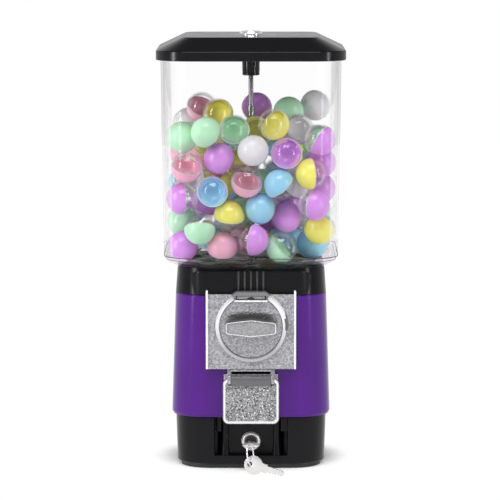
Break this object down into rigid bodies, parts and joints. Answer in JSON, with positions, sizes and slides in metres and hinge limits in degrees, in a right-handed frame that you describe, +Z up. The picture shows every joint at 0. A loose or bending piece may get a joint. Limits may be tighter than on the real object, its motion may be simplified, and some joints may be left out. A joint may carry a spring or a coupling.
{
  "type": "capsule vending machine",
  "caption": "Square clear canister of toy capsules on a moulded cabinet with a coin mechanism, dispensing wheel, flap door and locked base.",
  "frame": {"origin": "centre of the underside of the base", "axes": "+Z up, front of the machine towards -Y, +X to the right seen from the front"},
  "size_m": [0.1924, 0.2149, 0.444],
  "materials": {
    "cabinet_purple": "glossy moulded shell",
    "black_gloss": "glossy black moulding",
    "black_satin": "satin black moulding",
    "inner_black": "matt black inner part",
    "wheel_plastic": "moulded wheel",
    "gear_plastic": "natural nylon gear",
    "clear_canister": "clear styrene",
    "clear_cap": "clear capsule half",
    "die_cast": "hammered zinc casting, bright",
    "polished": "polished chrome",
    "lock_face": "dark lock face",
    "nickel_key": "nickel-plated brass",
    "steel": "zinc-plated steel",
    "brass_part": "brass",
    "cup_purple": "pastel capsule cup",
    "cup_pink": "pastel capsule cup",
    "cup_mint": "pastel capsule cup",
    "cup_blue": "pastel capsule cup",
    "cup_yellow": "pastel capsule cup",
    "cup_grey": "pastel capsule cup"
  },
  "bodies": {
    "base": {"base_tray": "black_satin", "foot_plate": "inner_black", "foot_screws": "steel", "base_lock_body": "polished", "base_lock_nut": "steel"},
    "base_lock": {"base_lock_plug": "lock_face", "base_lock_cam": "steel", "lock_key": "nickel_key"},
    "key_ring": {"key_ring": "polished"},
    "spare_key": {"spare_key": "nickel_key"},
    "cabinet": {"body_shell": "cabinet_purple", "neck_housing": "black_satin", "neck_screws": "steel", "hopper_floor": "inner_black", "wheel_guard": "inner_black", "capsule_chute": "inner_black", "canister": "clear_canister", "center_rod": "steel", "rod_sleeve": "steel", "rod_nut": "steel", "coin_plate": "die_cast", "dial_bezel": "polished", "coin_hood": "die_cast", "mech_frame": "steel", "mech_screws": "steel", "pawl_pin": "steel", "pawl_spring": "steel", "chute_frame": "die_cast", "door_hinge_pin": "steel", "purple_cups": "cup_purple", "pink_cups": "cup_pink", "mint_cups": "cup_mint", "blue_cups": "cup_blue", "yellow_cups": "cup_yellow", "grey_cups": "cup_grey", "purple_caps": "clear_cap", "pink_caps": "clear_cap", "mint_caps": "clear_cap", "blue_caps": "clear_cap", "yellow_caps": "clear_cap", "grey_caps": "clear_cap"},
    "pawl": {"ratchet_pawl": "brass_part"},
    "handle": {"coin_handle": "die_cast", "handle_shaft": "steel", "coin_carrier": "brass_part", "ratchet_wheel": "brass_part", "drive_gear": "gear_plastic", "shaft_clip": "steel"},
    "wheel": {"dispensing_wheel": "wheel_plastic"},
    "door": {"chute_door": "die_cast"},
    "lid": {"lid_shell": "black_gloss", "lid_boss": "black_gloss", "lid_lock_body": "polished"},
    "lid_lock": {"lid_lock_plug": "lock_face"}
  },
  "joints": [
    {"name": "cabinet_lift", "type": "slide", "parent": "base", "child": "cabinet", "axis": [0, 0, 1], "range_m": [0, 0.06]},
    {"name": "lid_lift", "type": "slide", "parent": "cabinet", "child": "lid", "axis": [0, 0, 1], "range_m": [0, 0.12]},
    {"name": "lid_lock_turn", "type": "hinge", "parent": "lid", "child": "lid_lock", "pos_m": [0, 0, 0.435], "axis": [0, 0, 1], "range_deg": [0, 90]},
    {"name": "handle_turn", "type": "hinge", "parent": "cabinet", "child": "handle", "pos_m": [0, -0.086, 0.148], "axis": [0, 1, 0], "continuous": true},
    {"name": "wheel_turn", "type": "hinge", "parent": "cabinet", "child": "wheel", "pos_m": [0, 0, 0.185], "axis": [0, 0, 1], "continuous": true},
    {"name": "pawl_swing", "type": "hinge", "parent": "cabinet", "child": "pawl", "pos_m": [0.024, -0.0753, 0.162], "axis": [0, -1, 0], "range_deg": [0, 12], "stiffness_Nm_per_rad": 0.02, "springref_deg": -5.73},
    {"name": "chute_door_swing", "type": "hinge", "parent": "cabinet", "child": "door", "pos_m": [0, -0.088, 0.094], "axis": [-1, 0, 0], "range_deg": [0, 75]},
    {"name": "base_lock_turn", "type": "hinge", "parent": "base", "child": "base_lock", "pos_m": [0, -0.07, 0.027], "axis": [0, -1, 0], "range_deg": [0, 90]},
    {"name": "key_ring_swing", "type": "hinge", "parent": "base_lock", "child": "key_ring", "pos_m": [0, -0.092, 0.0265], "axis": [-1, 0, 0], "range_deg": [0, 30]},
    {"name": "spare_key_swing", "type": "hinge", "parent": "key_ring", "child": "spare_key", "pos_m": [-0.00104, -0.1079, 0.011], "axis": [-0.2756, -0.9613, 0], "range_deg": [0, 40]}
  ],
  "couplings": [
    {"joint": "wheel_turn", "follows": "handle_turn", "ratio": 0.2}
  ]
}
